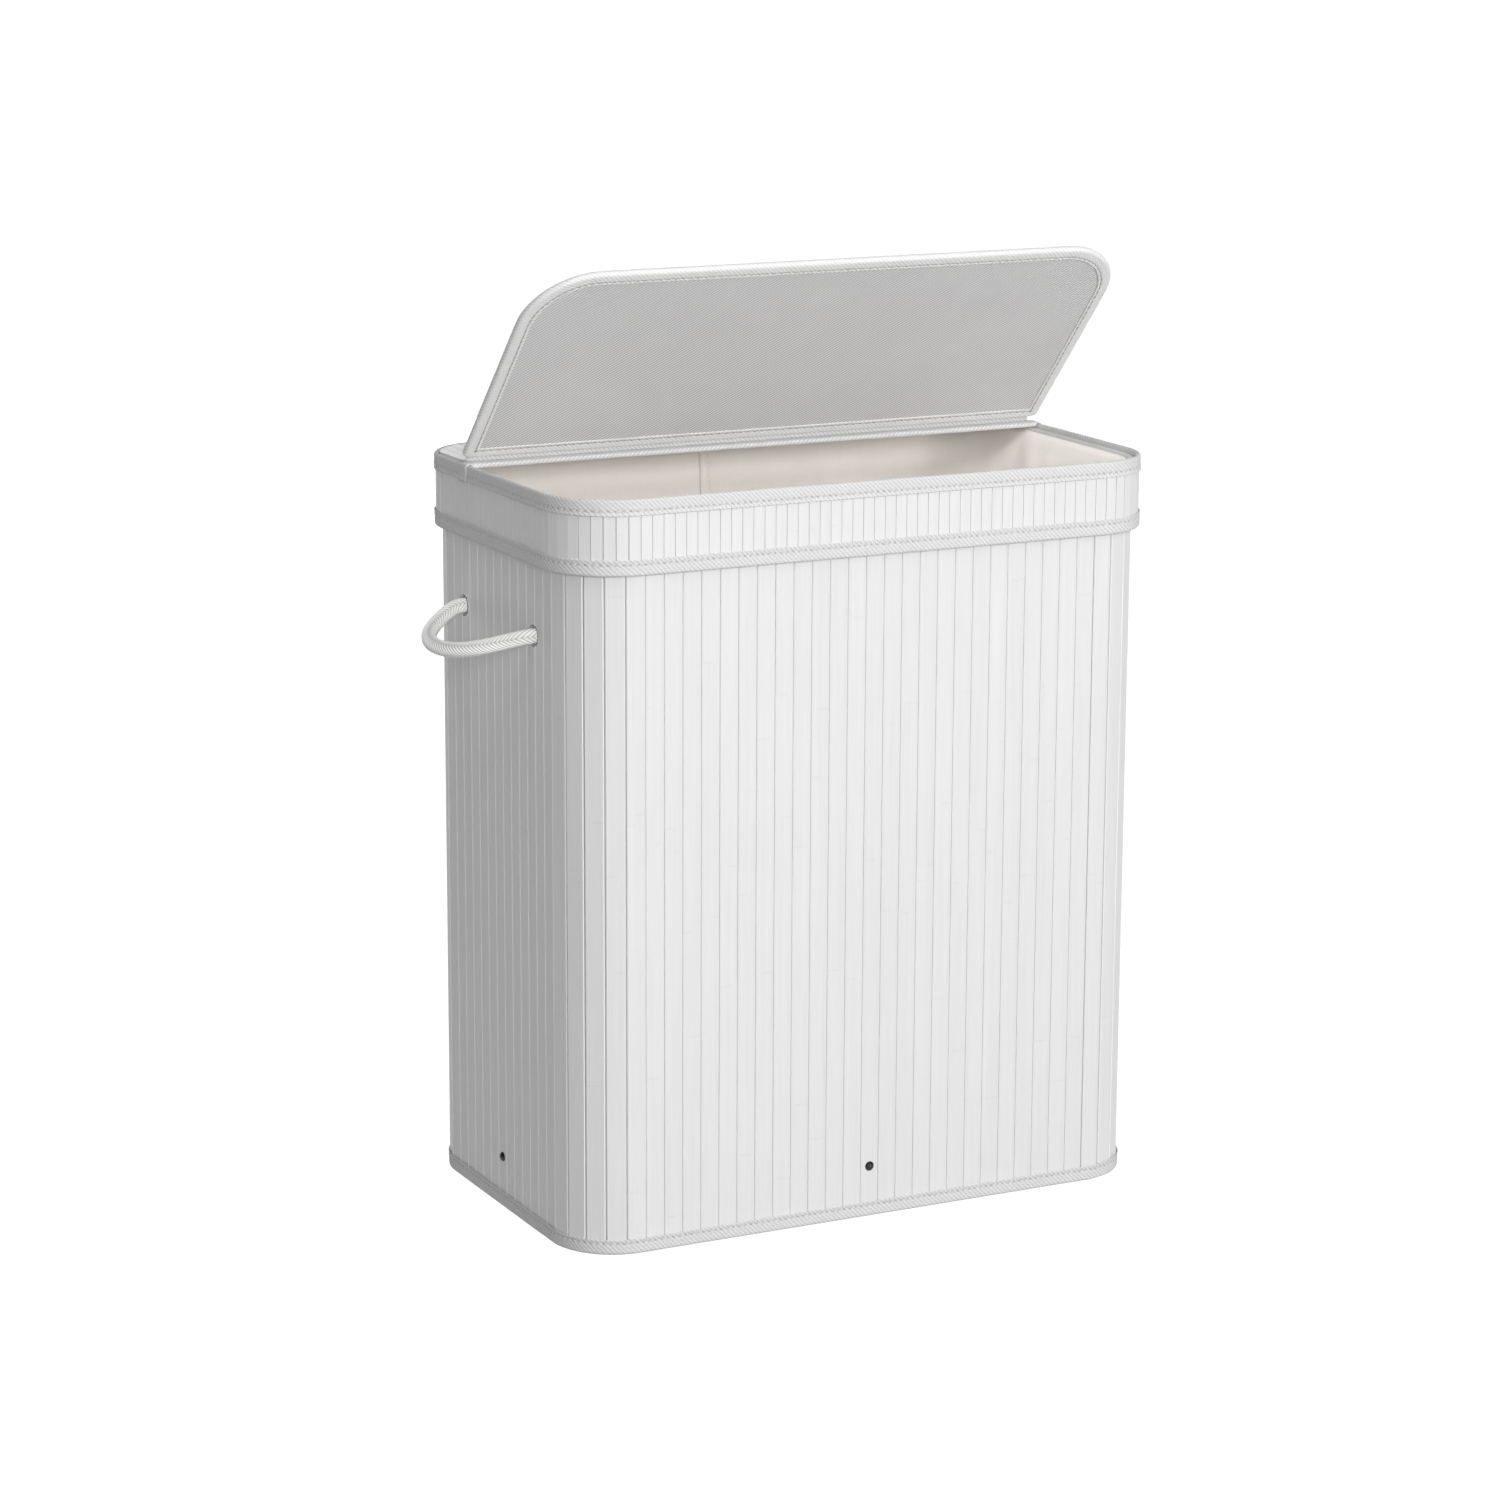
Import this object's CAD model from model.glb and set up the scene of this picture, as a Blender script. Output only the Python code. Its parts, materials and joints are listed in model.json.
import json
import math
import random

import bmesh
import bpy
import numpy as np
from mathutils import Matrix, Vector, noise

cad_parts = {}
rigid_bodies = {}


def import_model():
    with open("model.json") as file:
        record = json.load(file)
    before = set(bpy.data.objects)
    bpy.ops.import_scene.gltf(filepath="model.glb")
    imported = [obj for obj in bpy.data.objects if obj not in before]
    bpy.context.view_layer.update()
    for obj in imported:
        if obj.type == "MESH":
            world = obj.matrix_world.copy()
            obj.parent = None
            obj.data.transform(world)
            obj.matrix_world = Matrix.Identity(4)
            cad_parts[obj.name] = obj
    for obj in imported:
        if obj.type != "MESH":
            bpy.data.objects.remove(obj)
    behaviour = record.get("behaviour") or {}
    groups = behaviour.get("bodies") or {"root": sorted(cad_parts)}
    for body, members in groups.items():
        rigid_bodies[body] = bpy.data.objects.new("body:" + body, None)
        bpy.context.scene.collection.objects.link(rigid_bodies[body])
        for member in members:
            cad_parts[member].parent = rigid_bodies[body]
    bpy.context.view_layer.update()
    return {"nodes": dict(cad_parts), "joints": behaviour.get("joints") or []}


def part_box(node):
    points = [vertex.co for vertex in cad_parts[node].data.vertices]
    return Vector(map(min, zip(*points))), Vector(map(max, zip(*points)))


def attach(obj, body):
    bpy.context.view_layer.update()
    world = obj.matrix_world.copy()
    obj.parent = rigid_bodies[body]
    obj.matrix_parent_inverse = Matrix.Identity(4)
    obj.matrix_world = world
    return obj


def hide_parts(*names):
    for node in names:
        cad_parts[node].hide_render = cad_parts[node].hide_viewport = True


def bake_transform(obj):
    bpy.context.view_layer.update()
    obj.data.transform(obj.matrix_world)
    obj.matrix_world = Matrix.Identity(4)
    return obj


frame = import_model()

MM = 0.001
random.seed(7)


# ---- sizes, read from the frame
def edge(node, corner, axis):
    """One side of a CAD node's box, in metres: corner 0 is the low side and 1 the high side."""
    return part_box(node)[corner]["xyz".index(axis)]


WALL_X = edge("right_slats", 1, "x")
WALL_Y = edge("rear_slats", 1, "y")
WALL_RADIUS = 55 * MM
LID_RADIUS = 60 * MM
LID_BACK_RADIUS = 6 * MM
BASKET_TOP = edge("top_binding", 1, "z")
RIM_TOP = edge("collar_top_binding", 1, "z")
COLLAR_BOTTOM = edge("collar_bottom_binding", 0, "z")
WALL = 2.8 * MM
joints = {joint["name"]: joint for joint in frame["joints"]}
HINGE = Vector(joints["lid_hinge"]["pos_m"])
REST_ANGLE = math.radians(-joints["lid_hinge"]["range_deg"][0])
PIVOT_X = joints["right_handle_swing"]["pos_m"][0]
HOLE_Z = joints["right_handle_swing"]["pos_m"][2]
ROPE_HOLE_Y = 72 * MM
TO_HINGE = Matrix.Translation(HINGE)
OPEN_LID = TO_HINGE @ Matrix.Rotation(REST_ANGLE, 4, Vector((-1, 0, 0))) @ TO_HINGE.inverted()
SHUT_LID = OPEN_LID.inverted()


# ---- camera
CAMERA_AIM = Vector((-22.5, 23.8, 368.4)) * MM
CAMERA_AZIMUTH = math.radians(-26.76)
CAMERA_ELEVATION = math.radians(12.94)
CAMERA_ROLL = math.radians(0.24)
CAMERA_DISTANCE = 3.7214
CAMERA_LENS = 103.76


def make_camera():
    """Camera at the viewing angle of the reference, aimed at the middle of the hamper."""
    flat = math.cos(CAMERA_ELEVATION)
    back = Vector((math.sin(CAMERA_AZIMUTH) * flat, -math.cos(CAMERA_AZIMUTH) * flat, math.sin(CAMERA_ELEVATION)))
    data = bpy.data.cameras.new("camera")
    data.lens = CAMERA_LENS
    data.sensor_width = 36.0
    data.clip_end = 100.0
    camera = bpy.data.objects.new("camera", data)
    camera.location = CAMERA_AIM + back * CAMERA_DISTANCE
    turn = (-back).to_track_quat("-Z", "Y").to_matrix() @ Matrix.Rotation(CAMERA_ROLL, 3, "Z")
    camera.rotation_euler = turn.to_euler()
    bpy.context.scene.collection.objects.link(camera)
    bpy.context.scene.camera = camera


# ---- lights and floor
WORLD_ABOVE = 0.18
WORLD_BELOW = 0.26
# name, place, place that it faces and size in metres, power in watts
STUDIO_LIGHTS = (
    ("high_key", (1.5, -2.9, 3.0), (0.0, 0.0, 0.40), 1.6, 22.0),
    ("front_key", (1.55, -4.2, 1.56), (0.0, 0.0, 0.50), 0.95, 66.0),
    ("left_fill", (-1.65, -4.1, 1.65), (0.0, 0.0, 0.50), 0.95, 53.0),
    ("low_bounce", (0.4, -4.1, 0.30), (0.0, 0.0, 0.55), 1.0, 12.0),
    ("top", (-0.8, -0.9, 3.2), (-0.1, 0.0, 0.6), 1.6, 13.0),
    ("back_fill", (0.9, 4.2, 0.8), (0.0, 0.0, 0.40), 1.6, 50.0),
)
# the same, then how the names of the pieces start that this light alone reaches
PIECE_LIGHTS = (
    ("rope_fill", (-1.9, -3.2, 1.2), (-0.3, 0.0, 0.48), 0.8, 56.0, ("left_rope", "right_rope")),
    ("lid_fill", (0.1, -3.9, 0.35), (0.0, 0.0, 0.7), 0.8, 17.0, ("lid_",)),
    ("liner_fill", (-1.6, -2.6, 2.3), (0.1, 0.0, 0.55), 0.8, 70.0, ("liner_",)),
)
FLOOR_REACH = 40.0
FLOOR_DROP = 0.2 * MM
FLOOR_GLOW = 0.97


def area_light(name, place, aim, size, power):
    """Square white light that faces a place."""
    data = bpy.data.lights.new(name, "AREA")
    data.shape = "SQUARE"
    data.size = size
    data.energy = power
    light = bpy.data.objects.new(name, data)
    light.location = place
    light.rotation_euler = (Vector(aim) - Vector(place)).to_track_quat("-Z", "Y").to_euler()
    bpy.context.scene.collection.objects.link(light)
    return light


def make_piece_lights():
    """Soft fills for the rope, the lid and the liner, made last because they look the pieces up by name."""
    for name, place, aim, size, power, starts in PIECE_LIGHTS:
        light = area_light(name, place, aim, size, power)
        group = bpy.data.collections.new(name + "_pieces")
        for piece in bpy.data.objects:
            if piece.type == "MESH" and piece.name.startswith(starts):
                group.objects.link(piece)
        light.light_linking.receiver_collection = group


def make_studio():
    """White world, large soft lights, and a pale floor that glows so that it looks as white as the background."""
    world = bpy.data.worlds.new("studio")
    world.use_nodes = True
    nodes, links = world.node_tree.nodes, world.node_tree.links
    background = nodes["Background"]
    background.inputs["Color"].default_value = (1.0, 1.0, 1.0, 1.0)
    split = nodes.new("ShaderNodeSeparateXYZ")
    ramp = nodes.new("ShaderNodeMapRange")
    ramp.inputs["From Min"].default_value = -0.5
    ramp.inputs["From Max"].default_value = 0.5
    ramp.inputs["To Min"].default_value = WORLD_BELOW
    ramp.inputs["To Max"].default_value = WORLD_ABOVE
    links.new(nodes.new("ShaderNodeTexCoord").outputs["Generated"], split.inputs[0])
    links.new(split.outputs["Z"], ramp.inputs["Value"])
    links.new(ramp.outputs["Result"], background.inputs["Strength"])
    bpy.context.scene.world = world
    bpy.context.scene.view_settings.view_transform = "Standard"
    for light in STUDIO_LIGHTS:
        area_light(*light)
    mesh = bpy.data.meshes.new("floor")
    corners = [(-FLOOR_REACH, -FLOOR_REACH, 0), (FLOOR_REACH, -FLOOR_REACH, 0), (FLOOR_REACH, FLOOR_REACH, 0),
               (-FLOOR_REACH, FLOOR_REACH, 0)]
    mesh.from_pydata(corners, [], [(0, 1, 2, 3)])
    floor = bpy.data.objects.new("floor", mesh)
    floor.location.z = -FLOOR_DROP
    floor.visible_diffuse = False
    material = bpy.data.materials.new("floor")
    material.use_nodes = True
    shader = material.node_tree.nodes["Principled BSDF"]
    shader.inputs["Base Color"].default_value = (0.35, 0.35, 0.35, 1.0)
    shader.inputs["Roughness"].default_value = 1.0
    shader.inputs["Specular IOR Level"].default_value = 0.0
    shader.inputs["Emission Color"].default_value = (1.0, 1.0, 1.0, 1.0)
    shader.inputs["Emission Strength"].default_value = FLOOR_GLOW
    mesh.materials.append(material)
    bpy.context.scene.collection.objects.link(floor)


# ---- shader helpers
class Shader:
    """A Principled material with short ways to add and join nodes."""

    def __init__(self, name, colour, roughness, specular=0.5):
        self.material = bpy.data.materials.new(name)
        self.material.use_nodes = True
        self.tree = self.material.node_tree
        self.bsdf = self.tree.nodes["Principled BSDF"]
        self.bsdf.inputs["Base Color"].default_value = (*colour, 1.0)
        self.bsdf.inputs["Roughness"].default_value = roughness
        self.bsdf.inputs["Specular IOR Level"].default_value = specular

    def add(self, kind, **values):
        """New node with some of its settings."""
        node = self.tree.nodes.new(kind)
        for name, value in values.items():
            setattr(node, name, value)
        return node

    def join(self, start, end):
        self.tree.links.new(start, end)

    def value(self, socket, source):
        """Set a socket to a number or link it to another socket."""
        if isinstance(source, (int, float)):
            socket.default_value = source
        else:
            self.join(source, socket)

    def math(self, operation, first, second=0.0, third=0.0, clamp=False):
        node = self.add("ShaderNodeMath", operation=operation, use_clamp=clamp)
        for socket, source in zip(node.inputs, (first, second, third)):
            self.value(socket, source)
        return node.outputs[0]

    def plus(self, first, second, clamp=False):
        return self.math("ADD", first, second, clamp=clamp)

    def minus(self, first, second, clamp=False):
        return self.math("SUBTRACT", first, second, clamp=clamp)

    def times(self, first, second):
        return self.math("MULTIPLY", first, second)

    def axes(self, vector):
        """The three parts of a vector."""
        node = self.add("ShaderNodeSeparateXYZ")
        self.join(vector, node.inputs[0])
        return node.outputs

    def coordinates(self, kind, scale=(1, 1, 1), rotation=(0, 0, 0)):
        """Object coordinates in metres, or UV in millimetres of cloth, scaled and turned."""
        source = self.add("ShaderNodeUVMap" if kind == "UV" else "ShaderNodeTexCoord")
        if kind == "UV":
            source.uv_map = "cloth_mm"
        mapping = self.add("ShaderNodeMapping")
        mapping.inputs["Scale"].default_value = scale
        mapping.inputs["Rotation"].default_value = rotation
        self.join(source.outputs[kind], mapping.inputs["Vector"])
        return mapping.outputs["Vector"]

    def noise(self, vector, scale, detail=2.0, roughness=0.5):
        node = self.add("ShaderNodeTexNoise")
        self.join(vector, node.inputs["Vector"])
        node.inputs["Scale"].default_value = scale
        node.inputs["Detail"].default_value = detail
        node.inputs["Roughness"].default_value = roughness
        return node.outputs["Fac"]

    def spread(self, source, low, high):
        """Stretch a 0 to 1 value to another range."""
        node = self.add("ShaderNodeMapRange")
        self.join(source, node.inputs["Value"])
        node.inputs["To Min"].default_value = low
        node.inputs["To Max"].default_value = high
        return node.outputs["Result"]

    def tint(self, colour, factor):
        """Base colour: one colour made lighter or darker by a factor."""
        node = self.add("ShaderNodeVectorMath", operation="SCALE")
        node.inputs[0].default_value = colour
        self.value(node.inputs["Scale"], factor)
        self.join(node.outputs["Vector"], self.bsdf.inputs["Base Color"])

    def blend_colours(self, first, second, factor):
        node = self.add("ShaderNodeMix", data_type="RGBA")
        node.inputs["A"].default_value = (*first, 1.0)
        node.inputs["B"].default_value = (*second, 1.0)
        self.value(node.inputs["Factor"], factor)
        self.join(node.outputs["Result"], self.bsdf.inputs["Base Color"])

    def roughness(self, source):
        self.join(source, self.bsdf.inputs["Roughness"])

    def bump(self, height, distance, strength=1.0):
        node = self.add("ShaderNodeBump")
        self.join(height, node.inputs["Height"])
        node.inputs["Distance"].default_value = distance
        node.inputs["Strength"].default_value = strength
        self.join(node.outputs["Normal"], self.bsdf.inputs["Normal"])

    def yarn_turns(self, uv, period):
        """How far round its wave each yarn is, along and across the cloth."""
        return [self.times(axis, 2 * math.pi / period) for axis in self.axes(uv)[:2]]

    def twill(self, uv, period):
        """Height of a twill: slanted ribs, and lower, finer ones across them."""
        u, v = self.yarn_turns(uv, period)
        rib = self.math("SINE", self.plus(u, v))
        cross = self.math("SINE", self.minus(self.times(u, 2.0), self.times(v, 2.0)))
        return self.plus(self.plus(self.times(rib, 0.38), self.times(cross, 0.12)), 0.5)

    def plain_weave(self, uv, period):
        """Height of a plain weave."""
        u, v = self.yarn_turns(uv, period)
        return self.plus(self.times(self.times(self.math("SINE", u), self.math("SINE", v)), 0.5), 0.5)


# ---- materials
SLAT_JOINT_SPACING = 0.31
SLAT_JOINT_WIDTH = 0.9 * MM
HOLE_SHADE_RADIUS = 9.1 * MM
STITCH_GROOVE = 0.75


def painted_bamboo(name, along=(0, 0, 0)):
    """White paint over bamboo: grain along the slat, a tone for each slat, and faint joints across it.
    Upright slats, which have no turn in along, are dark in and round the rope holes."""
    s = Shader(name, (0.86, 0.86, 0.855), 0.42, 0.4)
    fine = s.coordinates("Object", (1, 1, 0.02), along)
    grain = s.noise(fine, 900.0, 3.0, 0.6)
    broad = s.noise(fine, 260.0, 2.0, 0.5)
    cloudy = s.noise(s.coordinates("Object", (1, 1, 0.35), along), 28.0, 3.0, 0.6)
    island = s.add("ShaderNodeNewGeometry").outputs["Random Per Island"]
    y, z = s.axes(s.coordinates("Object", (1, 1, 1), along))[1:]
    wander = s.times(s.noise(s.coordinates("Object", (1, 1, 0.1), along), 160.0), 0.004)
    height = s.plus(s.plus(z, wander), s.times(island, 7.0))
    place = s.math("FRACT", s.times(height, 1 / SLAT_JOINT_SPACING))
    from_joint = s.math("ABSOLUTE", s.minus(place, 0.5))
    joint = s.minus(1.0, s.times(from_joint, SLAT_JOINT_SPACING / SLAT_JOINT_WIDTH), clamp=True)
    tone = s.plus(s.spread(grain, 0.93, 1.02), s.spread(broad, -0.03, 0.03))
    tone = s.plus(tone, s.spread(island, -0.012, 0.012))
    tone = s.plus(tone, s.spread(cloudy, -0.02, 0.02))
    tone = s.minus(tone, s.times(joint, 0.05))
    if not any(along):
        from_y = s.minus(s.math("ABSOLUTE", y), ROPE_HOLE_Y)
        from_z = s.minus(z, HOLE_Z)
        away = s.math("SQRT", s.plus(s.times(from_y, from_y), s.times(from_z, from_z)))
        shaded = s.math("LESS_THAN", away, HOLE_SHADE_RADIUS)
        tone = s.times(tone, s.math("MULTIPLY_ADD", shaded, -0.9, 1.0))
    s.tint((0.885, 0.887, 0.885), tone)
    s.roughness(s.spread(grain, 0.36, 0.52))
    relief = s.plus(s.times(grain, 0.6), broad)
    s.bump(s.plus(relief, s.times(joint, 0.6)), 0.20 * MM, 0.6)
    return s.material


def painted_edge(name):
    """The eased long edges of the slats, where the paint lies thicker and shines more."""
    s = Shader(name, (0.95, 0.95, 0.95), 0.3, 0.6)
    runs = s.noise(s.coordinates("Object", (1, 1, 0.05)), 420.0, 2.0, 0.5)
    s.tint((0.96, 0.96, 0.96), s.spread(runs, 0.95, 1.02))
    s.roughness(s.spread(runs, 0.24, 0.40))
    s.bump(runs, 0.05 * MM, 0.4)
    return s.material


def woven_tape(name, colour, period, contrast, stitch_pitch, stitch_shade):
    """Narrow twill tape with fuzzy, uneven yarns, pulled in and shaded at the needle holes of its stitches."""
    s = Shader(name, colour, 0.85, 0.25)
    s.bsdf.inputs["Sheen Weight"].default_value = 0.2
    s.bsdf.inputs["Sheen Roughness"].default_value = 0.5
    uv = s.coordinates("UV")
    twill = s.twill(uv, period)
    fuzz = s.noise(uv, 0.9, 3.0, 0.7)
    patches = s.noise(s.coordinates("Object"), 90.0, 3.0, 0.6)
    across = s.add("ShaderNodeAttribute", attribute_name="stitch_distance").outputs["Fac"]
    square = s.times(across, across)
    line = s.math("EXPONENT", s.times(square, -1 / STITCH_GROOVE ** 2))
    turn = s.math("COSINE", s.times(s.axes(uv)[0], 2 * math.pi / stitch_pitch))
    hole = s.math("POWER", s.math("MULTIPLY_ADD", turn, -0.5, 0.5), 2.0)
    shade = s.times(line, s.math("MULTIPLY_ADD", hole, stitch_shade, stitch_shade * 0.35))
    tone = s.plus(s.spread(twill, 1.0 - contrast, 1.0), s.spread(fuzz, -contrast, contrast))
    tone = s.plus(tone, s.spread(patches, -0.02, 0.02))
    tone = s.minus(tone, shade)
    s.tint(colour, tone)
    relief = s.plus(twill, s.times(fuzz, 1.2))
    s.bump(s.minus(relief, s.times(shade, 2.0)), 0.30 * MM, 0.7)
    return s.material


def lining_twill(name):
    """Grey-white twill of the lid's underside, a diagonal rib with a light and a dark yarn."""
    s = Shader(name, (0.6, 0.6, 0.6), 0.8, 0.3)
    s.bsdf.inputs["Sheen Weight"].default_value = 0.15
    uv = s.coordinates("UV")
    twill = s.twill(uv, 4.1)
    fuzz = s.noise(uv, 1.0, 2.0, 0.6)
    patches = s.noise(s.coordinates("Object"), 14.0, 3.0, 0.6)
    mix = s.plus(s.times(twill, 0.8), s.times(fuzz, 0.25), clamp=True)
    mix = s.plus(mix, s.spread(patches, -0.06, 0.06), clamp=True)
    s.blend_colours((0.38, 0.38, 0.385), (0.96, 0.96, 0.965), mix)
    s.bump(twill, 0.30 * MM, 0.8)
    return s.material


def liner_cotton(name):
    """Cream cotton of the liner bag, plain weave with slubs."""
    s = Shader(name, (0.74, 0.70, 0.65), 0.9, 0.2)
    s.bsdf.inputs["Sheen Weight"].default_value = 0.2
    uv = s.coordinates("UV")
    yarns = s.plain_weave(uv, 1.1)
    slub_u = s.noise(s.coordinates("UV", (0.05, 1.2, 1)), 0.9, 2.0, 0.6)
    slub_v = s.noise(s.coordinates("UV", (1.2, 0.05, 1)), 0.9, 2.0, 0.6)
    patches = s.noise(s.coordinates("Object"), 9.0, 4.0, 0.6)
    tone = s.plus(s.spread(yarns, 0.97, 1.02), s.spread(slub_u, -0.03, 0.03))
    tone = s.plus(tone, s.spread(slub_v, -0.03, 0.03))
    tone = s.plus(tone, s.spread(patches, -0.03, 0.03))
    s.tint((0.95, 0.91, 0.865), tone)
    height = s.plus(yarns, s.plus(slub_u, slub_v))
    s.bump(height, 0.18 * MM, 0.6)
    return s.material


def plain_cloth(name, colour):
    """Cotton backing cloth."""
    s = Shader(name, colour, 0.92, 0.2)
    vector = s.coordinates("Object")
    yarn = s.noise(vector, 900.0, 2.0, 0.6)
    patches = s.noise(vector, 25.0, 3.0, 0.6)
    s.tint(colour, s.plus(s.spread(yarn, 0.93, 1.04), s.spread(patches, -0.03, 0.03)))
    s.bump(yarn, 0.2 * MM, 0.6)
    return s.material


def rope_cotton(name):
    """Soft white cotton rope: fine fibres along the strands and darker valleys."""
    s = Shader(name, (0.86, 0.86, 0.85), 0.88, 0.2)
    s.bsdf.inputs["Sheen Weight"].default_value = 0.35
    fibres = s.noise(s.coordinates("Object"), 1900.0, 3.0, 0.6)
    patches = s.noise(s.coordinates("Object"), 120.0, 2.0, 0.5)
    depth = s.add("ShaderNodeAttribute", attribute_name="strand_height").outputs["Fac"]
    tone = s.plus(s.spread(s.math("POWER", depth, 0.7), 0.30, 1.06), s.spread(fibres, -0.05, 0.05))
    s.tint((0.95, 0.95, 0.94), s.plus(tone, s.spread(patches, -0.02, 0.02)))
    s.bump(fibres, 0.18 * MM, 0.6)
    return s.material


def thread(name, colour):
    """Twisted sewing thread."""
    s = Shader(name, colour, 0.7, 0.3)
    twist = s.noise(s.coordinates("Object"), 2600.0, 1.0, 0.5)
    s.tint(colour, s.spread(twist, 0.88, 1.05))
    s.bump(twist, 0.1 * MM, 0.5)
    return s.material


def dark_metal(name):
    """Blackened screw head, glossy, with fine scratches."""
    s = Shader(name, (0.02, 0.019, 0.018), 0.22, 0.5)
    s.bsdf.inputs["Metallic"].default_value = 0.25
    scratches = s.noise(s.coordinates("Object", (1, 1, 0.2)), 1500.0, 3.0, 0.7)
    s.tint((0.010, 0.0095, 0.009), s.spread(scratches, 0.7, 1.3))
    s.roughness(s.spread(scratches, 0.16, 0.32))
    s.bump(scratches, 0.03 * MM, 0.4)
    return s.material


def raw_wood(name, colour, ring_scale):
    """Unpainted board or cleat: fibres, faint rings and darker flecks."""
    s = Shader(name, colour, 0.75, 0.3)
    vector = s.coordinates("Object", (0.06, 1, 1))
    grain = s.noise(vector, 420.0, 4.0, 0.65)
    rings = s.noise(vector, ring_scale, 2.0, 0.5)
    tone = s.plus(s.spread(grain, 0.82, 1.1), s.spread(rings, -0.12, 0.12))
    s.tint(colour, tone)
    s.roughness(s.spread(grain, 0.62, 0.86))
    s.bump(grain, 0.15 * MM, 0.5)
    return s.material


# ---- mesh helpers
def new_object(name, vertices, faces, material, uv=None):
    """Smooth mesh object in the frame. uv holds one pair per face corner, in millimetres of cloth."""
    mesh = bpy.data.meshes.new(name)
    mesh.from_pydata([tuple(v) for v in vertices], [], faces)
    if uv is not None:
        layer = mesh.uv_layers.new(name="cloth_mm")
        layer.data.foreach_set("uv", np.asarray(uv, np.float32).ravel())
    mesh.polygons.foreach_set("use_smooth", [True] * len(mesh.polygons))
    mesh.materials.append(material)
    mesh.update()
    obj = bpy.data.objects.new(name, mesh)
    bpy.context.scene.collection.objects.link(obj)
    return obj


def thicken(obj, thickness, offset):
    """Give a sheet its thickness, as a modifier that stays."""
    solid = obj.modifiers.new("cloth_thickness", "SOLIDIFY")
    solid.thickness = thickness
    solid.offset = offset


def running_length(points, closed=False):
    """Distance along a line of points, from 0 at the first. A closed line ends back at its first point."""
    points = np.asarray(points, float)
    if closed:
        points = np.vstack([points, points[:1]])
    return np.concatenate([[0.0], np.cumsum(np.linalg.norm(np.diff(points, axis=0), axis=1))])


def swept_faces(along, around, closed_path, closed_section):
    """Faces and UV of a section swept along a path. The distances along and around are in metres, and a closed
    path or section has its first point's place once more, as its last distance."""
    steps, spans = len(along) - 1, len(around) - 1
    sides = spans if closed_section else spans + 1
    faces, uv = [], []
    for i in range(steps):
        after = (i + 1) % steps if closed_path else i + 1
        u0, u1 = along[i] / MM, along[i + 1] / MM
        for j in range(spans):
            up = (j + 1) % sides
            faces.append((i * sides + j, after * sides + j, after * sides + up, i * sides + up))
            v0, v1 = around[j] / MM, around[j + 1] / MM
            uv += [(u0, v0), (u1, v0), (u1, v1), (u0, v1)]
    return faces, uv


def rounded_path(half, front, back, front_radius, back_radius, spacing):
    """Closed outline, counter-clockwise from the middle of the front: points, outward normals, arc lengths."""
    points, normals = [], []
    corners = [
        (half, front, front_radius, -90),
        (half, back, back_radius, 0),
        (-half, back, back_radius, 90),
        (-half, front, front_radius, 180),
    ]

    def straight(start, end, facing):
        length = math.dist(start, end)
        steps = max(1, round(length / spacing))
        aim = math.radians(facing)
        for i in range(steps):
            share = i / steps
            points.append((start[0] + (end[0] - start[0]) * share, start[1] + (end[1] - start[1]) * share))
            normals.append((math.cos(aim), math.sin(aim)))

    last = (0.0, front)
    for x, y, radius, facing in corners:
        centre = (x - math.copysign(radius, x), y - math.copysign(radius, y - (front + back) / 2))
        first = math.radians(facing)
        start = (centre[0] + radius * math.cos(first), centre[1] + radius * math.sin(first))
        straight(last, start, facing)
        steps = max(8, round(radius * math.pi / 2 / spacing))
        for i in range(steps):
            aim = first + math.pi / 2 * i / steps
            points.append((centre[0] + radius * math.cos(aim), centre[1] + radius * math.sin(aim)))
            normals.append((math.cos(aim), math.sin(aim)))
        aim = first + math.pi / 2
        last = (centre[0] + radius * math.cos(aim), centre[1] + radius * math.sin(aim))
    straight(last, (0.0, front), -90)
    points, normals = np.array(points), np.array(normals)
    return points, normals, running_length(points, True)


def even_pitch(path, pitch):
    """Stitch pitch in millimetres that fits a whole number of times round a closed path."""
    return path[2][-1] / round(path[2][-1] / pitch) / MM


def thick_profile(line, thickness):
    """Closed outline of a strip of that thickness laid along a line of (offset, height) points.
    The first half of the result is the left-hand side of the line, the outside of the tape."""
    line = np.array(line, float)
    tangents = np.gradient(line, axis=0)
    tangents /= np.linalg.norm(tangents, axis=1)[:, None]
    left = np.stack([tangents[:, 1], -tangents[:, 0]], 1)
    half = thickness / 2
    outside = line + left * half
    inside = line - left * half
    end_cap = [line[-1] + tangents[-1] * half * 0.7]
    start_cap = [line[0] - tangents[0] * half * 0.7]
    return np.array([*outside, *end_cap, *inside[::-1], *start_cap])


def folded_line(outer, inner, edge_height, leg, direction, thickness):
    """Centre line of a tape folded over an edge. Direction 1 folds over a top edge, -1 under a bottom one."""
    outer_d = outer - thickness / 2
    inner_d = inner + thickness / 2
    half_span = (outer_d - inner_d) / 2
    rise = min(half_span, 2.4 * MM)
    turn = edge_height - direction * (rise + thickness / 2)
    far = edge_height - direction * leg
    outer_steps, arc_steps, inner_steps = 14, 10, 4
    line = [(outer_d, far + (turn - far) * i / outer_steps) for i in range(outer_steps)]
    for i in range(arc_steps + 1):
        aim = math.pi * i / arc_steps
        line.append(((outer_d + inner_d) / 2 + half_span * math.cos(aim), turn + direction * rise * math.sin(aim)))
    line += [(inner_d, turn + (far - turn) * i / inner_steps) for i in range(1, inner_steps + 1)]
    return line if direction > 0 else line[::-1]


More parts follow.
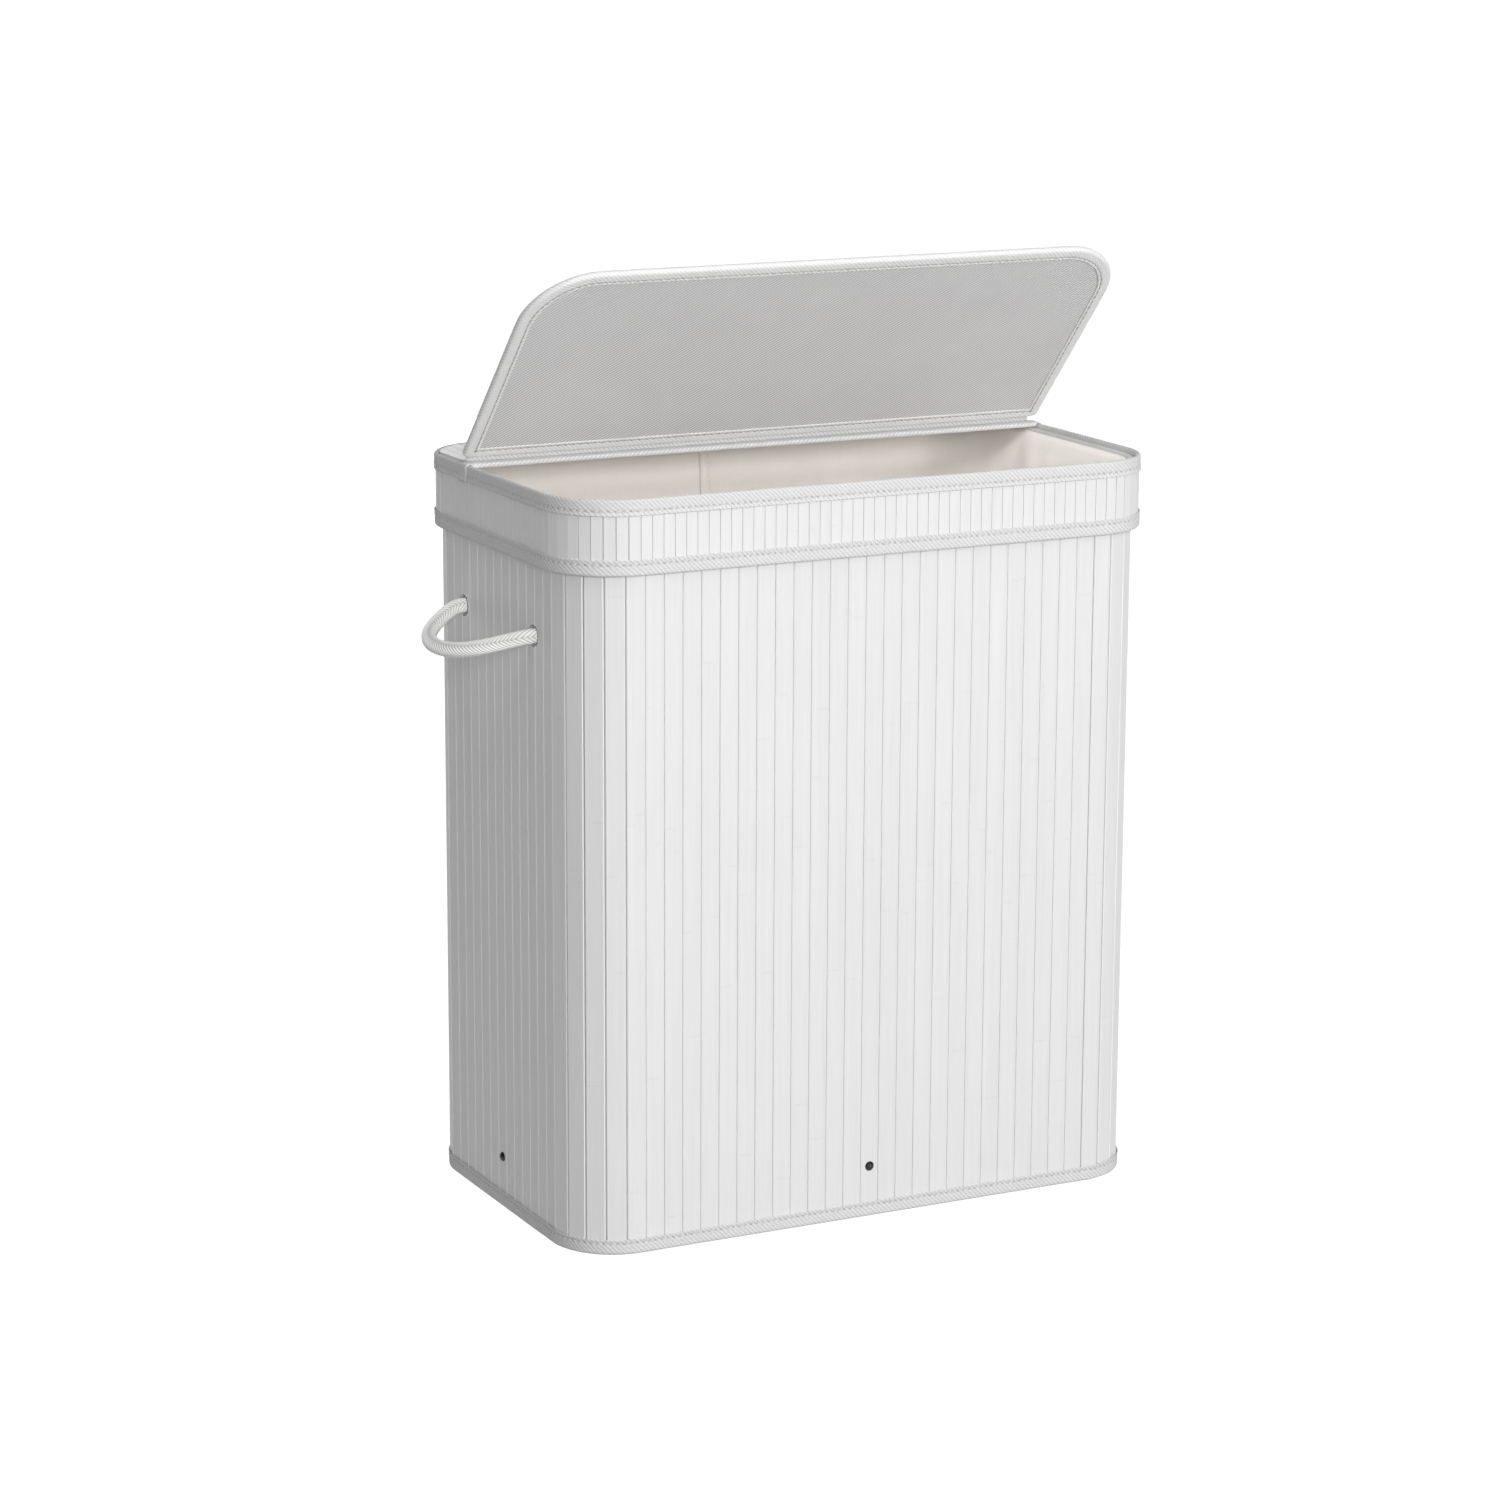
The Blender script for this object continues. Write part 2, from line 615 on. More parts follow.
def rolled_line(start, fold, first, last, thickness, steps):
    """Centre line of a tape that runs from start to an edge at fold, rolls round it and runs back.
    first and last are the heights of the faces it lies flush with, before and after the roll."""
    side = 1 if fold > start else -1
    up = 1 if last > first else -1
    roll = abs(last - first) / 2 - thickness / 2
    centre, middle = fold - side * (roll + thickness / 2), (first + last) / 2
    leg = [start + (centre - start) * i / steps for i in range(steps)]
    line = [(place, first + up * thickness / 2) for place in leg]
    for i in range(9):
        aim = -math.pi / 2 + math.pi * i / 8
        line.append((centre + side * roll * math.cos(aim), middle + up * roll * math.sin(aim)))
    return line + [(place, last - up * thickness / 2) for place in reversed(leg)]


def swept_tape(name, path, profile, material, shape, limits=None):
    """Tape swept round a closed path. shape(arc, offset, height, across) returns extra (offset, height).
    limits (half width, front, back) stop a wide tape from crossing itself in a tight corner."""
    points, normals, lengths = path
    count, sides = len(points), len(profile)
    around = running_length(profile, True)
    vertices = np.zeros((count, sides, 3))
    for j, (offset, height) in enumerate(profile):
        extra = np.array([shape(lengths[i], offset, height, around[j]) for i in range(count)])
        offsets = offset + extra[:, 0]
        xy = points + normals * offsets[:, None]
        if limits:
            half, front, back = limits
            xy[:, 0] = np.clip(xy[:, 0], -(half + offsets), half + offsets)
            xy[:, 1] = np.clip(xy[:, 1], front - offsets, back + offsets)
        vertices[:, j, :2] = xy
        vertices[:, j, 2] = height + extra[:, 1]
    faces, uv = swept_faces(lengths, around, True, True)
    return new_object(name, vertices.reshape(-1, 3), faces, material, uv)


def recalculate(obj, merge=0.0):
    """Turn the faces outwards, after joining points closer than merge."""
    work = bmesh.new()
    work.from_mesh(obj.data)
    if merge:
        bmesh.ops.remove_doubles(work, verts=work.verts, dist=merge)
    bmesh.ops.recalc_face_normals(work, faces=work.faces)
    work.to_mesh(obj.data)
    work.free()
    return obj


UNSTITCHED = 9.0 * MM  # far enough from any stitch to show no groove


def mark_stitches(obj, distances):
    """Store each vertex's distance from the nearest row of stitches, in millimetres."""
    attribute = obj.data.attributes.new("stitch_distance", "FLOAT", "POINT")
    attribute.data.foreach_set("value", np.array(distances, np.float32) / MM)


STITCH_PITCH = 5.5 * MM
LID_STITCH_PITCH = 6.8 * MM
STITCH_LENGTH = 3.7 * MM
STITCH_WIDTH = 0.95 * MM
STITCH_HEIGHT = 0.80 * MM
STITCH_SINK = 0.28 * MM
STITCH_SHARES = (0.0, 0.14, 0.34, 0.66, 0.86, 1.0)
STITCH_WIDTHS = (0.35, 0.82, 1.0, 1.0, 0.82, 0.35)
STITCH_SIDES = 6


def stitch_row(name, places, length, width, height, material):
    """One mesh of separate stitches. places holds (point, direction along the row, outward normal)."""
    vertices, faces = [], []
    for point, along, outward in places:
        point, along, outward = Vector(point), Vector(along).normalized(), Vector(outward).normalized()
        across = along.cross(outward).normalized()
        lean = random.uniform(-0.06, 0.06)
        along = (along + across * lean).normalized()
        start = len(vertices)
        for share, wide in zip(STITCH_SHARES, STITCH_WIDTHS):
            rise = height * (0.15 + 0.85 * math.sin(math.pi * (0.08 + 0.84 * share)))
            centre = point + along * (share - 0.5) * length + outward * (rise - height * 0.55)
            for k in range(STITCH_SIDES):
                turn = 2 * math.pi * k / STITCH_SIDES
                ring = across * math.cos(turn) * width / 2 * wide + outward * math.sin(turn) * height / 2 * wide
                vertices.append(centre + ring)
        rings = len(STITCH_SHARES)
        for r in range(rings - 1):
            for k in range(STITCH_SIDES):
                a = start + r * STITCH_SIDES + k
                b = start + r * STITCH_SIDES + (k + 1) % STITCH_SIDES
                faces.append((a, b, b + STITCH_SIDES, a + STITCH_SIDES))
        faces.append(tuple(start + k for k in reversed(range(STITCH_SIDES))))
        faces.append(tuple(start + (rings - 1) * STITCH_SIDES + k for k in range(STITCH_SIDES)))
    return new_object(name, vertices, faces, material)


def tape_stitches(name, places, material, body):
    """Row of the stitches that hold a binding tape."""
    row = stitch_row(name, places, STITCH_LENGTH, STITCH_WIDTH, STITCH_HEIGHT, material)
    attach(row, body)


def path_places(path, offset, height, pitch, limits=None, outward=None, matrix=None):
    """Evenly spaced places along a closed path, for stitches."""
    points, normals, lengths = path
    total = lengths[-1]
    count = max(4, round(total / pitch))
    closed_points = np.vstack([points, points[:1]])
    closed_normals = np.vstack([normals, normals[:1]])
    places = []
    for i in range(count):
        s = total * i / count
        x, y = (np.interp(s, lengths, closed_points[:, k]) for k in (0, 1))
        nx, ny = (np.interp(s, lengths, closed_normals[:, k]) for k in (0, 1))
        size = math.hypot(nx, ny)
        nx, ny = nx / size, ny / size
        px, py = x + nx * offset, y + ny * offset
        if limits:
            half, front, back = limits
            px = min(max(px, -(half + offset)), half + offset)
            py = min(max(py, front - offset), back + offset)
        place = Vector((px, py, height)), Vector((-ny, nx, 0)), Vector(outward or (nx, ny, 0))
        if matrix:
            turn = matrix.to_3x3()
            place = matrix @ place[0], turn @ place[1], turn @ place[2]
        places.append(place)
    return places


def wave(seed, size, amount):
    """A smooth random function of a place on the cloth."""
    def at(arc, height):
        return amount * noise.noise(Vector((arc / size, height / size, seed)))
    return at


# ---- the pieces
def ease_cad_edges(node, material, width, fill=0.0, edge_material=None):
    """Keep a CAD node, with its long edges eased and its own material."""
    obj = frame["nodes"][node]
    obj.data.materials.clear()
    obj.data.materials.append(material)
    weld = obj.modifiers.new("join_corners", "WELD")
    weld.merge_threshold = 0.01 * MM
    if fill:
        paint = obj.modifiers.new("paint_thickness", "DISPLACE")
        paint.strength = fill
        paint.mid_level = 0.0
    if width:
        bevel = obj.modifiers.new("eased_edges", "BEVEL")
        bevel.width = width
        bevel.segments = 1
        bevel.limit_method = "ANGLE"
        bevel.angle_limit = math.radians(40)
        if edge_material:
            obj.data.materials.append(edge_material)
            bevel.material = 1
        obj.data.polygons.foreach_set("use_smooth", [False] * len(obj.data.polygons))


BASKET_PATH = rounded_path(WALL_X, -WALL_Y, WALL_Y, WALL_RADIUS, WALL_RADIUS, 3.0 * MM)


def wall_tape(name, outer, inner, edge_height, leg, direction, thickness, stitch_height, material, stitch_material,
              body):
    """Binding tape folded round an edge of the wall, with its row of stitches, if it has one, pressed into it."""
    rough = wave(len(name), 26 * MM, 0.22 * MM)
    fine = wave(len(name) + 5, 6 * MM, 0.10 * MM)
    far = edge_height - direction * leg
    outer_side = (outer + inner) / 2

    def shape(arc, offset, height, across):
        push = rough(arc, across) + fine(arc, across)
        if offset > outer_side:
            if stitch_height is not None:
                push -= 0.45 * MM * math.exp(-((height - stitch_height) / (0.9 * MM)) ** 2)
            push += 0.35 * MM * math.exp(-((height - far) / (1.2 * MM)) ** 2)
        inward = -1 if offset < outer_side else 1
        return (push * inward, fine(arc + 1, across) * 0.6)

    line = folded_line(outer, inner, edge_height, leg, direction, thickness)
    tape = swept_tape(name, BASKET_PATH, thick_profile(line, thickness), material, shape)
    recalculate(tape)
    row_height = UNSTITCHED if stitch_height is None else stitch_height
    mark_stitches(tape, [v.co.z - row_height for v in tape.data.vertices])
    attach(tape, body)
    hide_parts(name.replace("_tape", "_binding"))
    if stitch_height is not None:
        places = path_places(BASKET_PATH, outer - STITCH_SINK, stitch_height, STITCH_PITCH)
        tape_stitches(name + "_stitches", places, stitch_material, body)


def lid_box():
    """Half width, front, back, low side and high side of the shut lid, from its CAD binding."""
    binding = [SHUT_LID @ v.co for v in frame["nodes"]["lid_binding"].data.vertices]
    return (max(v.x for v in binding), min(v.y for v in binding), max(v.y for v in binding),
            min(v.z for v in binding), max(v.z for v in binding))


def lid_path():
    """Outline of the shut lid."""
    return rounded_path(*lid_box()[:3], LID_RADIUS, LID_BACK_RADIUS, 3.0 * MM)


def lid_edge_distance(x, y, limits):
    """How far a place on the shut lid is from its edge."""
    half, front, back = limits
    side, into = half - abs(x), y - front
    if side < LID_RADIUS and into < LID_RADIUS:
        return LID_RADIUS - math.hypot(LID_RADIUS - side, LID_RADIUS - into)
    return min(side, into, back - y)


LID_TAPE_WIDTH = 12.0 * MM
LID_TAPE = 1.1 * MM
LID_STITCH_OFFSET = 2.6 * MM - LID_TAPE_WIDTH
LINING_INSET = 9.0 * MM


def make_lid_tape(material, stitch_material):
    """Tape folded round the lid's edge, with a row of stitches on each face."""
    path, limits, (low, high) = lid_path(), lid_box()[:3], lid_box()[3:]
    rough = wave(31, 24 * MM, 0.20 * MM)
    fine = wave(37, 6 * MM, 0.08 * MM)
    middle = (high + low) / 2

    def shape(arc, offset, height, across):
        push = rough(arc, across) + fine(arc, across)
        push += 0.28 * MM * math.exp(-((offset + LID_TAPE_WIDTH) / (1.2 * MM)) ** 2)
        push -= 0.32 * MM * math.exp(-((offset - LID_STITCH_OFFSET) / (0.8 * MM)) ** 2)
        if offset > (low - high) / 2:
            return (min(0.0, push), 0.0)
        return (0.0, -push if height < middle else push)

    line = rolled_line(-LID_TAPE_WIDTH, 0.0, low, high, LID_TAPE, 7)
    tape = swept_tape("lid_tape", path, thick_profile(line, LID_TAPE), material, shape, limits)
    recalculate(tape, 0.02 * MM)
    mark_stitches(tape, [lid_edge_distance(v.co.x, v.co.y, limits) + LID_STITCH_OFFSET for v in tape.data.vertices])
    tape.data.transform(OPEN_LID)
    tape.data.update()
    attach(tape, "lid")
    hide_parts("lid_binding")
    for face, height, outward in (("under", low + 0.12 * MM, (0, 0, -1)), ("outer", high - 0.12 * MM, (0, 0, 1))):
        places = path_places(path, LID_STITCH_OFFSET, height, LID_STITCH_PITCH, limits, outward, OPEN_LID)
        tape_stitches(f"lid_{face}_stitches", places, stitch_material, "lid")


def make_lid_lining(material):
    """Lining stretched over the lid's underside, inside its tape."""
    half, front, back, low, _ = lid_box()
    half, front, back = half - LINING_INSET, front + LINING_INSET, back - LINING_INSET
    radius = LID_RADIUS - LINING_INSET
    columns, rows = 110, 48
    soft = wave(53, 90 * MM, 0.35 * MM)
    vertices, uv_at = [], []
    for r in range(rows + 1):
        y = front + (back - front) * r / rows
        into = y - front
        cut = 0.0
        if into < radius:
            cut = radius - math.sqrt(max(0.0, radius ** 2 - (radius - into) ** 2))
        for c in range(columns + 1):
            x = (half - cut) * (2 * c / columns - 1)
            share = min(1.0, min(half - abs(x), into, back - y) / (25 * MM) + 0.02)
            vertices.append(OPEN_LID @ Vector((x, y, low + 0.75 * MM + soft(x, y) * share)))
            uv_at.append((x / MM, y / MM))
    faces, _ = swept_faces(range(rows + 1), range(columns + 1), False, False)
    lining = new_object("lid_lining_cloth", vertices, faces, material, [uv_at[k] for face in faces for k in face])
    thicken(lining, 0.5 * MM, -1.0)
    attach(lining, "lid")
    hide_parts("lid_lining")


def make_hinge_cloth(material):
    """Strip of cloth that joins the rear panel to the outer face of the lid."""
    _, _, lid_back, _, high = lid_box()
    panel_top = edge("hinge_strip_rear", 0, "z")
    strip_front, strip_back = (edge("hinge_strip_rear", side, "y") for side in (0, 1))
    length = edge("hinge_strip_rear", 1, "x")
    thickness = 0.5 * MM
    line = [(strip_back - (strip_back - strip_front) * i / 5, panel_top + thickness * 0.6) for i in range(6)]
    top = [OPEN_LID @ Vector((0, lid_back - (2.0 + 2.0 * i) * MM, high + thickness * 0.6)) for i in range(6)]
    start, end = Vector((0, *line[-1])), top[0]
    for i in range(1, 7):
        bulge = 0.9 * MM * math.sin(math.pi * i / 7)
        point = start.lerp(end, i / 7) + Vector((0, bulge, 0))
        line.append((point.y, point.z))
    line += [(point.y, point.z) for point in top]
    columns = 130
    vertices = []
    for c in range(columns + 1):
        x = -length + 2 * length * c / columns
        for y, z in line:
            vertices.append((x, y, z + 0.08 * MM * noise.noise(Vector((x / 0.02, y / 0.01, 3.0)))))
    faces, uv = swept_faces(np.linspace(0, 2 * length, columns + 1), running_length(line), False, False)
    strip = new_object("hinge_cloth", vertices, faces, material, uv)
    mark_stitches(strip, [UNSTITCHED] * len(vertices))
    thicken(strip, thickness, 0.0)
    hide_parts("hinge_strip_rear", "hinge_strip_lid")
    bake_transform(strip)
    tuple(start)
    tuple(end)


PANEL_TAPE_WIDTH = 14.0 * MM
PANEL_TAPE = 0.9 * MM


def make_panel_tape(material, stitch_material):
    """Tape folded over the rear panel's front edge, with ends that wrap down over the collar's rim."""
    low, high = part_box("rear_panel_edge_tape")
    front, top = low.y, high.z
    under = edge("rear_panel_backing", 0, "z") - 0.5 * MM
    half = edge("rear_panel_backing", 1, "x")
    section = thick_profile(rolled_line(front + PANEL_TAPE_WIDTH, front, top, under, PANEL_TAPE, 6), PANEL_TAPE)
    around = running_length(section, True)
    columns = 180
    rough = wave(61, 22 * MM, 0.18 * MM)
    vertices = []
    for c in range(columns + 1):
        x = -half + 2 * half * c / columns
        for j, (y, z) in enumerate(section):
            push = rough(x, around[j])
            vertices.append((x, y + (push if y < front + 3 * MM else 0.0), z - abs(push) * 0.5))
    faces, uv = swept_faces(np.linspace(0, 2 * half, columns + 1), around, False, True)
    tape = recalculate(new_object("rear_panel_tape", vertices, faces, material, uv))
    mark_stitches(tape, [UNSTITCHED] * len(vertices))
    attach(tape, "collar")
    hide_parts("rear_panel_edge_tape")
    for side, label in ((-1, "left"), (1, "right")):
        make_panel_tape_end(side, label, half, material, stitch_material)


def make_panel_tape_end(side, label, half, material, stitch_material):
    """Tab of the panel's tape, over the collar's rim and down its outside, held by three stitches."""
    low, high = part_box("rear_panel_edge_tape")
    front, top, drop, outer = low.y, high.z, low.z, high.x
    bend, lap, end_inset, steps = 2.6 * MM, 4 * MM, 0.6 * MM, 10
    run = outer - bend - half + lap
    turn = top - PANEL_TAPE / 2 - bend
    line = [(side * (half - lap + run * i / 5), top - PANEL_TAPE / 2) for i in range(6)]
    for i in range(1, 8):
        aim = math.pi / 2 * i / 7
        line.append((side * (outer - PANEL_TAPE / 2 - bend + bend * math.sin(aim)), turn + bend * math.cos(aim)))
    line += [(side * (outer - PANEL_TAPE / 2), turn + (drop - top + bend) * i / 8) for i in range(1, 9)]
    section = thick_profile(line, PANEL_TAPE)
    sides = len(section)
    vertices = []
    for c in range(steps + 1):
        y = front + end_inset + (PANEL_TAPE_WIDTH - end_inset) * c / steps
        thin = 0.25 * MM if c in (0, steps) else 0.0
        vertices += [(x - side * thin, y, z - thin * 0.5) for x, z in section]
    faces, uv = swept_faces(np.linspace(0, PANEL_TAPE_WIDTH, steps + 1), running_length(section, True), False, True)
    faces.append(tuple(reversed(range(sides))))
    faces.append(tuple(steps * sides + j for j in range(sides)))
    uv += [(0, 0)] * (2 * sides)
    tab = recalculate(new_object(f"rear_panel_tape_{label}_end", vertices, faces, material, uv))
    mark_stitches(tab, [UNSTITCHED] * len(vertices))
    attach(tab, "collar")
    places = [((side * (outer + 0.02 * MM), front + (3.0 + 4.2 * i) * MM, drop + 2.2 * MM), (0, 1, 0), (side, 0, 0))
              for i in range(3)]
    tape_stitches(f"rear_panel_tape_{label}_stitches", places, stitch_material, "collar")


# ---- rope handles
ROPE_DIAMETER = 13.0 * MM
DROOP = math.radians(25.0)
BRAID_COLUMNS = 4
STRAND_PITCH = 3.7 * MM
BRAID_RELIEF = 0.85 * MM
HANDLE_ROUTE = [
    (-72.0, 0.0),
    (-61.0, 11.6),
    (-44.0, 28.1),
    (-22.0, 41.4),
    (2.0, 47.4),
    (26.0, 46.9),
    (46.0, 40.3),
    (60.0, 26.5),
    (68.5, 11.0),
    (72.0, 0.0),
]


def curve_points(name, control):
    """Points along a smooth NURBS spline with these control points."""
    data = bpy.data.curves.new(name, "CURVE")
    data.dimensions = "3D"
    spline = data.splines.new("NURBS")
    spline.points.add(len(control) - 1)
    for point, place in zip(spline.points, control):
        point.co = (*place, 1.0)
    spline.order_u = 3
    spline.use_endpoint_u = True
    spline.resolution_u = 24
    obj = bpy.data.objects.new(name, data)
    bpy.context.scene.collection.objects.link(obj)
    bpy.context.view_layer.update()
    mesh = bpy.data.meshes.new_from_object(obj)
    points = [v.co.copy() for v in mesh.vertices]
    bpy.data.objects.remove(obj)
    bpy.data.meshes.remove(mesh)
    return points


def braid_height(along, turn, radius):
    """Height, from 0 to 1, of a herringbone braid: columns of strands that slant one way and the other by turns."""
    index, within = divmod(turn * BRAID_COLUMNS, 1)
    slant = (1 if index % 2 == 0 else -1) * (within - 0.5) * 2 * math.pi * radius / BRAID_COLUMNS
    ridge = abs(math.sin(math.pi * (along + slant) / STRAND_PITCH)) ** 1.1
    return ridge * (0.45 + 0.55 * math.sin(math.pi * within) ** 0.6)


def braided_tube(name, line, radius, material, step=0.55 * MM, sides=72, closed=False):
    """Tube with a herringbone braid in its surface, along a line of points. Returns it and its centre line."""
    line = np.array([tuple(p) for p in line], float)
    if closed:
        line = np.vstack([line, line[:1]])
    lengths = running_length(line)
    rings = max(8, round(lengths[-1] / step))
    at = np.linspace(0, lengths[-1], rings + 1)
    centre = np.stack([np.interp(at, lengths, line[:, k]) for k in range(3)], 1)
    for _ in range(3):
        centre[1:-1] = (centre[:-2] + centre[2:]) / 2 * 0.5 + centre[1:-1] * 0.5
    tangents = np.gradient(centre, axis=0)
    tangents /= np.linalg.norm(tangents, axis=1)[:, None]
    side = Vector((0, 0, 1)).cross(Vector(tangents[0]))
    if side.length < 1e-3:
        side = Vector((1, 0, 0))
    vertices, heights = [], []
    for i in range(rings + 1):
        along = Vector(tangents[i])
        side = (side - along * side.dot(along)).normalized()
        up = along.cross(side)
        spin = 0.02 * at[i] / (10 * MM)
        for k in range(sides):
            height = braid_height(at[i], k / sides, radius)
            distance = radius - BRAID_RELIEF + BRAID_RELIEF * height
            aim = 2 * math.pi * (k / sides + spin)
            vertices.append(Vector(centre[i]) + side * math.cos(aim) * distance + up * math.sin(aim) * distance)
            heights.append(height)
    faces = []
    for i in range(rings):
        for k in range(sides):
            a, b = i * sides + k, i * sides + (k + 1) % sides
            faces.append((a, b, b + sides, a + sides))
    if not closed:
        faces.append(tuple(reversed(range(sides))))
        faces.append(tuple(rings * sides + k for k in range(sides)))
    tube = new_object(name, vertices, faces, material)
    attribute = tube.data.attributes.new("strand_height", "FLOAT", "POINT")
    attribute.data.foreach_set("value", np.array(heights, np.float32))
    recalculate(tube, 0.01 * MM if closed else 0.0)
    return tube, [Vector(c) for c in centre]


def trefoil(middle, size):
    """Points of a flat trefoil knot round a place."""
    loop = []
    for i in range(90):
        t = 2 * math.pi * i / 90
        y = (math.sin(t) + 2 * math.sin(2 * t)) * size
        z = (math.cos(t) - 2 * math.cos(2 * t)) * size
        loop.append(middle + Vector((-math.sin(3 * t) * size * 0.64, y, z)))
    return loop


def make_handle(side, name, material):
    """One rope handle: knot inside the wall, out through a hole, round the loop and back in."""
    hole_places = [HANDLE_ROUTE[end][0] * MM for end in (0, -1)]
    inside = side * (WALL_X - WALL - 4.0 * MM)
    control = [(inside, hole_places[0], HOLE_Z)]
    for y, out in HANDLE_ROUTE:
        reach = out * MM
        control.append((side * (PIVOT_X + reach * math.cos(DROOP)), y * MM, HOLE_Z - reach * math.sin(DROOP)))
    control.append((inside, hole_places[1], HOLE_Z))
    line = curve_points(f"{name}_route", control)
    rope, centre = braided_tube(f"{name}_rope_handle", line, ROPE_DIAMETER / 2, material)
    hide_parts(f"{name}_rope_loop")
    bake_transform(rope)
    for number, y in enumerate(hole_places, 1):
        loop = trefoil(Vector((side * (WALL_X - WALL - 7.2 * MM), y, HOLE_Z)), 2.5 * MM)
        knot, _ = braided_tube(f"{name}_rope_knot_{number}", loop, 5.0 * MM, material, 1.6 * MM, 24, True)
        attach(knot, "basket")
    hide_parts(f"{name}_rope_ends")


# ---- liner bag
LINER_GAP = 4.3 * MM
LINER_TOP = 2.6 * MM


def make_liner_seam(line, spacing, material, stitch_material):
    """Lapped seam down the back of the liner, with a row of stitches."""
    across = [(-5.0, 0.2), (-3.8, 0.6), (-1.5, 0.8), (1.5, 0.75), (3.8, 0.6), (5.0, 0.2)]
    vertices = [place + Vector((x * MM, -out * MM, 0)) for x, out in across for place in line]
    faces, uv = swept_faces([x * MM for x, _ in across], [spacing * r for r in range(len(line))], False, False)
    seam = new_object("liner_seam", vertices, faces, material, uv)
    thicken(seam, 0.35 * MM, -1.0)
    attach(seam, "basket")
    places = []
    for start, end in zip(line, line[1:]):
        for share in (0.25, 0.75):
            places.append((start.lerp(end, share) + Vector((3.2 * MM, -0.8 * MM, 0)), end - start, (0, -1, 0)))
    row = stitch_row("liner_seam_stitches", places, 3.6 * MM, 0.7 * MM, 0.35 * MM, stitch_material)
    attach(row, "basket")


def hung_places(bag, pinned):
    """Where each point of the bag is once its cloth, slightly too large, has settled between its pinned edges."""
    bag.vertex_groups.new(name="pinned").add(pinned, 1.0, "REPLACE")
    cloth = bag.modifiers.new("hang", "CLOTH")
    settings = cloth.settings
    settings.quality = 5
    settings.mass = 0.25
    settings.bending_stiffness = 2.5
    settings.tension_stiffness = settings.compression_stiffness = 20
    settings.shear_stiffness = 8
    settings.shrink_min = -0.02
    settings.vertex_group_mass = "pinned"
    cloth.collision_settings.use_collision = False
    cloth.point_cache.frame_start = 1
    cloth.point_cache.frame_end = 24
    scene = bpy.context.scene
    for number in range(1, 25):
        scene.frame_set(number)
    evaluated = bag.evaluated_get(bpy.context.evaluated_depsgraph_get())
    places = [v.co.copy() for v in evaluated.data.vertices]
    bag.modifiers.remove(cloth)
    scene.frame_set(1)
    return places


def make_liner(material, stitch_material):
    """Bag of cloth hung inside the wall, in soft folds, that makes room for the rope's knots."""
    half, depth, radius = WALL_X - LINER_GAP, WALL_Y - LINER_GAP, WALL_RADIUS - LINER_GAP
    spacing = 11.0 * MM
    points, normals, lengths = rounded_path(half, -depth, depth, radius, radius, spacing)
    bottom = edge("liner_bag", 0, "z") + 0.6 * MM
    height = BASKET_TOP - LINER_TOP - bottom
    rows = round(height / spacing)
    count = len(points)
    vertices = [(x, y, bottom + height * r / rows) for r in range(rows + 1) for x, y in points]
    faces, uv = [], []
    for r in range(rows):
        for i in range(count):
            a, b = r * count + i, r * count + (i + 1) % count
            faces.append((a, b, b + count, a + count))
            u0, u1 = lengths[i] / MM, lengths[i + 1] / MM
            v0, v1 = height * r / rows / MM, height * (r + 1) / rows / MM
            uv += [(u0, v0), (u1, v0), (u1, v1), (u0, v1)]
    # floor of the bag: shrinking copies of the outline
    previous = list(range(count))
    for share in (0.86, 0.70, 0.50, 0.28, 0.10):
        ring = list(range(len(vertices), len(vertices) + count))
        vertices += [(x * share, y * share, bottom) for x, y in points]
        floor_faces = [(previous[i], ring[i], ring[(i + 1) % count], previous[(i + 1) % count]) for i in range(count)]
        faces += floor_faces
        uv += [(vertices[k][0] / MM, vertices[k][1] / MM) for face in floor_faces for k in face]
        previous = ring
    faces.append(tuple(reversed(previous)))
    uv += [(vertices[k][0] / MM, vertices[k][1] / MM) for k in reversed(previous)]
    bag = new_object("liner_cloth", vertices, faces, material, uv)
    pinned = [i for i in range(len(vertices)) if i < count or i >= count * rows]
    settled = hung_places(bag, pinned)

    soft = wave(71, 70 * MM, 2.2 * MM)
    longest_fold, knot_room = 16 * MM, 16.5 * MM
    for i, vertex in enumerate(bag.data.vertices[:count * (rows + 1)]):
        r, k = divmod(i, count)
        nx, ny = normals[k]
        base = Vector(vertices[i])
        fold = 3.6 * MM * abs(noise.noise(Vector((lengths[k] / (30 * MM), base.z / (260 * MM), 11.0))))
        slack = min(1.0, (rows - r) * spacing / (30 * MM), r * spacing / (60 * MM))
        inward = -abs((settled[i] - base).dot(Vector((nx, ny, 0))))
        inward -= (1.6 * MM + soft(lengths[k], vertices[i][2]) + fold) * slack
        inward = max(inward, -longest_fold)
        for y in (HANDLE_ROUTE[0][0] * MM, HANDLE_ROUTE[-1][0] * MM):
            away = math.hypot(base.y - y, base.z - HOLE_Z) if abs(nx) > 0.9 else 1.0
            share = min(1.0, max(0.0, (44 * MM - away) / (26 * MM)))
            inward = min(inward, -knot_room * share * share * (3 - 2 * share))
        vertex.co = Vector((base.x + nx * inward, base.y + ny * inward, settled[i].z if 0 < r < rows else base.z))
    bag.data.update()
    middle = int(np.argmin([math.hypot(x, y - depth) for x, y in points]))
    seam_line = [bag.data.vertices[r * count + middle].co.copy() for r in range(rows + 1)]
    make_liner_seam(seam_line, spacing, material, stitch_material)
    smooth = bag.modifiers.new("smooth_cloth", "SUBSURF")
    smooth.levels = smooth.render_levels = 1
    thicken(bag, 0.6 * MM, 1.0)
    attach(bag, "basket")
    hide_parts("liner_bag")


# ---- build everything
make_camera()
make_studio()

